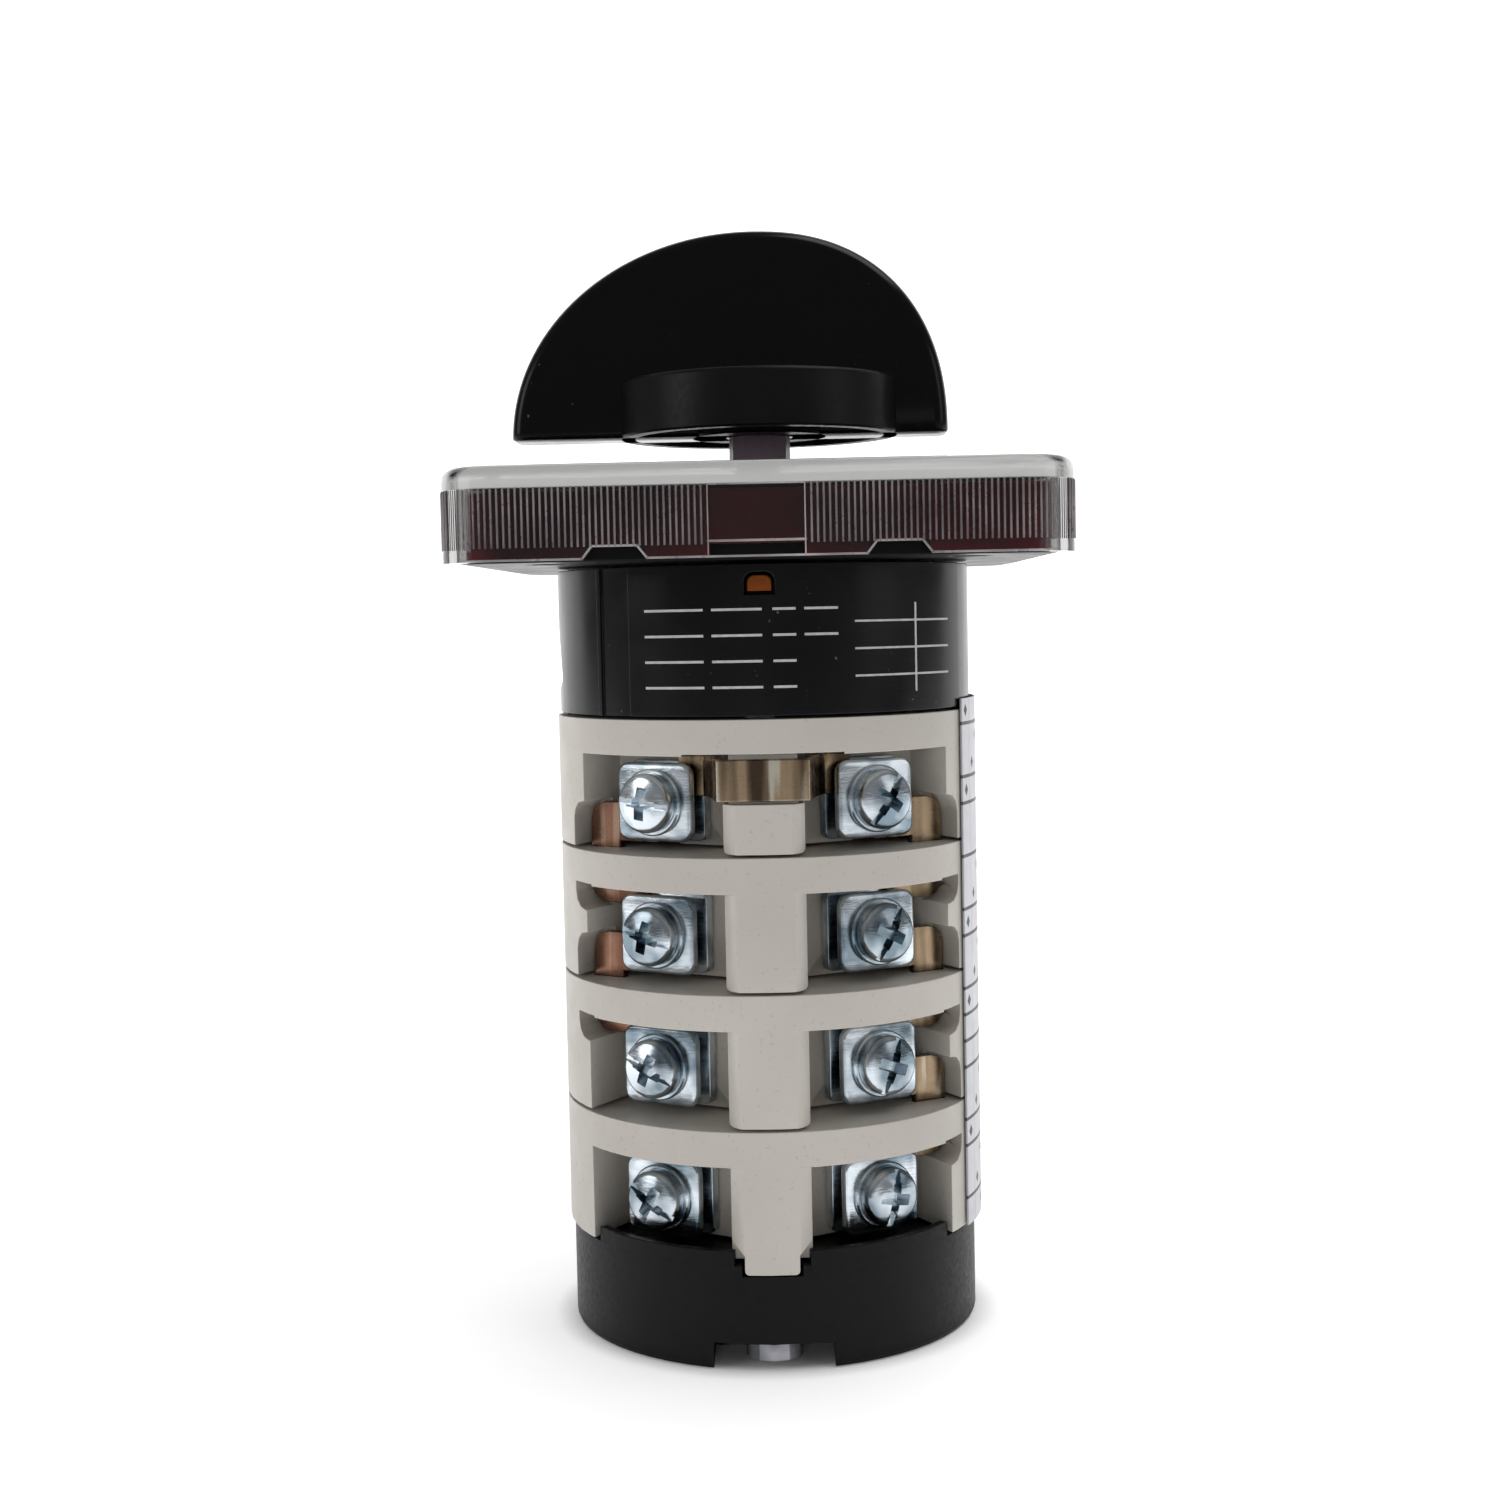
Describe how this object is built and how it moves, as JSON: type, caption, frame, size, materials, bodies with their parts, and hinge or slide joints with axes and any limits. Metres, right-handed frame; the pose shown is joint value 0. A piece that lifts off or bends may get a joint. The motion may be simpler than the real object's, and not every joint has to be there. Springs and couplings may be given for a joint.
{
  "type": "cam switch",
  "caption": "Rotary cam switch with stacked contact decks, clamp screw terminals, jumper links, clear ribbed front cover and a pointed knob handle.",
  "frame": {"origin": "on the shaft's axis at the rear face of the rear cap", "axes": "+Z along the shaft towards the handle, -Y towards the front terminals, -X the way the handle's long end points at rest"},
  "size_m": [0.0588, 0.0588, 0.1121],
  "materials": {
    "black_plastic": "glossy black, moulded",
    "matt_black_plastic": "fine matt, moulded",
    "grey_plastic": "warm grey, satin moulded",
    "clear_plastic": "clear, ribbed edge",
    "carrier_plastic": "moulded",
    "cam_plastic": "natural, moulded",
    "orange_plastic": "satin moulded",
    "zinc_steel": "bright zinc",
    "nickel_brass": "nickel plated, mirror bright",
    "spring_steel": "bright wire",
    "silver_foil": "satin sheet",
    "white_paper": "printed film"
  },
  "bodies": {
    "switch_body": {"rear_cap": "matt_black_plastic", "mechanism_housing": "black_plastic", "front_plate": "matt_black_plastic", "front_cover": "clear_plastic", "dial_plate": "silver_foil", "tie_bolt_front": "zinc_steel", "tie_bolt_back": "zinc_steel", "bridge_link": "nickel_brass", "left_link_1_2": "nickel_brass", "left_link_2_3": "nickel_brass", "right_link_1_2": "nickel_brass", "right_link_2_3": "nickel_brass", "right_link_3_4": "nickel_brass", "wiring_label": "white_paper", "detent_spring_left": "spring_steel", "detent_spring_right": "spring_steel", "contact_block_1": "grey_plastic", "terminal_1_front_left": "zinc_steel", "terminal_1_front_right": "zinc_steel", "terminal_1_back_left": "zinc_steel", "terminal_1_back_right": "zinc_steel", "contact_block_2": "grey_plastic", "terminal_2_front_left": "zinc_steel", "terminal_2_front_right": "zinc_steel", "terminal_2_back_left": "zinc_steel", "terminal_2_back_right": "zinc_steel", "contact_block_3": "grey_plastic", "terminal_3_front_left": "zinc_steel", "terminal_3_front_right": "zinc_steel", "terminal_3_back_left": "zinc_steel", "terminal_3_back_right": "zinc_steel", "contact_block_4": "grey_plastic", "terminal_4_front_left": "zinc_steel", "terminal_4_front_right": "zinc_steel", "terminal_4_back_left": "zinc_steel", "terminal_4_back_right": "zinc_steel", "carrier_spring_1_left": "spring_steel", "carrier_spring_1_right": "spring_steel", "carrier_spring_2_left": "spring_steel", "carrier_spring_2_right": "spring_steel", "carrier_spring_3_left": "spring_steel", "carrier_spring_3_right": "spring_steel", "carrier_spring_4_left": "spring_steel", "carrier_spring_4_right": "spring_steel"},
    "rotor": {"handle": "black_plastic", "shaft": "matt_black_plastic", "star_wheel": "cam_plastic", "cam_1": "cam_plastic", "cam_2": "cam_plastic", "cam_3": "cam_plastic", "cam_4": "cam_plastic"},
    "release_tab": {"release_tab": "orange_plastic"},
    "carrier_1_left": {"carrier_1_left": "carrier_plastic"},
    "carrier_1_right": {"carrier_1_right": "carrier_plastic"},
    "carrier_2_left": {"carrier_2_left": "carrier_plastic"},
    "carrier_2_right": {"carrier_2_right": "carrier_plastic"},
    "carrier_3_left": {"carrier_3_left": "carrier_plastic"},
    "carrier_3_right": {"carrier_3_right": "carrier_plastic"},
    "carrier_4_left": {"carrier_4_left": "carrier_plastic"},
    "carrier_4_right": {"carrier_4_right": "carrier_plastic"}
  },
  "joints": [
    {"name": "handle_turn", "type": "hinge", "parent": "switch_body", "child": "rotor", "pos_m": [0, 0, 0], "axis": [0, 0, 1], "range_deg": [-60, 60], "deforming": ["detent_spring_left", "detent_spring_right"]},
    {"name": "carrier_1_left_slide", "type": "slide", "parent": "switch_body", "child": "carrier_1_left", "axis": [1, 0, 0], "range_m": [-0.00092, 0.00092], "deforming": ["carrier_spring_1_left"]},
    {"name": "carrier_1_right_slide", "type": "slide", "parent": "switch_body", "child": "carrier_1_right", "axis": [1, 0, 0], "range_m": [-0.00092, 0.00092], "deforming": ["carrier_spring_1_right"]},
    {"name": "carrier_2_left_slide", "type": "slide", "parent": "switch_body", "child": "carrier_2_left", "axis": [1, 0, 0], "range_m": [-0.00092, 0.00092], "deforming": ["carrier_spring_2_left"]},
    {"name": "carrier_2_right_slide", "type": "slide", "parent": "switch_body", "child": "carrier_2_right", "axis": [1, 0, 0], "range_m": [-0.00092, 0.00092], "deforming": ["carrier_spring_2_right"]},
    {"name": "carrier_3_left_slide", "type": "slide", "parent": "switch_body", "child": "carrier_3_left", "axis": [1, 0, 0], "range_m": [-0.00092, 0.00092], "deforming": ["carrier_spring_3_left"]},
    {"name": "carrier_3_right_slide", "type": "slide", "parent": "switch_body", "child": "carrier_3_right", "axis": [1, 0, 0], "range_m": [-0.00092, 0.00092], "deforming": ["carrier_spring_3_right"]},
    {"name": "carrier_4_left_slide", "type": "slide", "parent": "switch_body", "child": "carrier_4_left", "axis": [1, 0, 0], "range_m": [-0.00092, 0.00092], "deforming": ["carrier_spring_4_left"]},
    {"name": "carrier_4_right_slide", "type": "slide", "parent": "switch_body", "child": "carrier_4_right", "axis": [1, 0, 0], "range_m": [-0.00092, 0.00092], "deforming": ["carrier_spring_4_right"]},
    {"name": "release_tab_press", "type": "slide", "parent": "switch_body", "child": "release_tab", "axis": [0, 1, 0], "range_m": [0, 0.0015], "stiffness_N_per_m": 300}
  ],
  "couplings": [
    {"joint": "carrier_1_left_slide", "follows": "handle_turn", "m_per_rad": 0.00085944},
    {"joint": "carrier_1_right_slide", "follows": "handle_turn", "m_per_rad": 0.00085944},
    {"joint": "carrier_2_left_slide", "follows": "handle_turn", "m_per_rad": 0.00085944},
    {"joint": "carrier_2_right_slide", "follows": "handle_turn", "m_per_rad": 0.00085944},
    {"joint": "carrier_3_left_slide", "follows": "handle_turn", "m_per_rad": 0.00085944},
    {"joint": "carrier_3_right_slide", "follows": "handle_turn", "m_per_rad": 0.00085944},
    {"joint": "carrier_4_left_slide", "follows": "handle_turn", "m_per_rad": 0.00085944},
    {"joint": "carrier_4_right_slide", "follows": "handle_turn", "m_per_rad": 0.00085944}
  ]
}
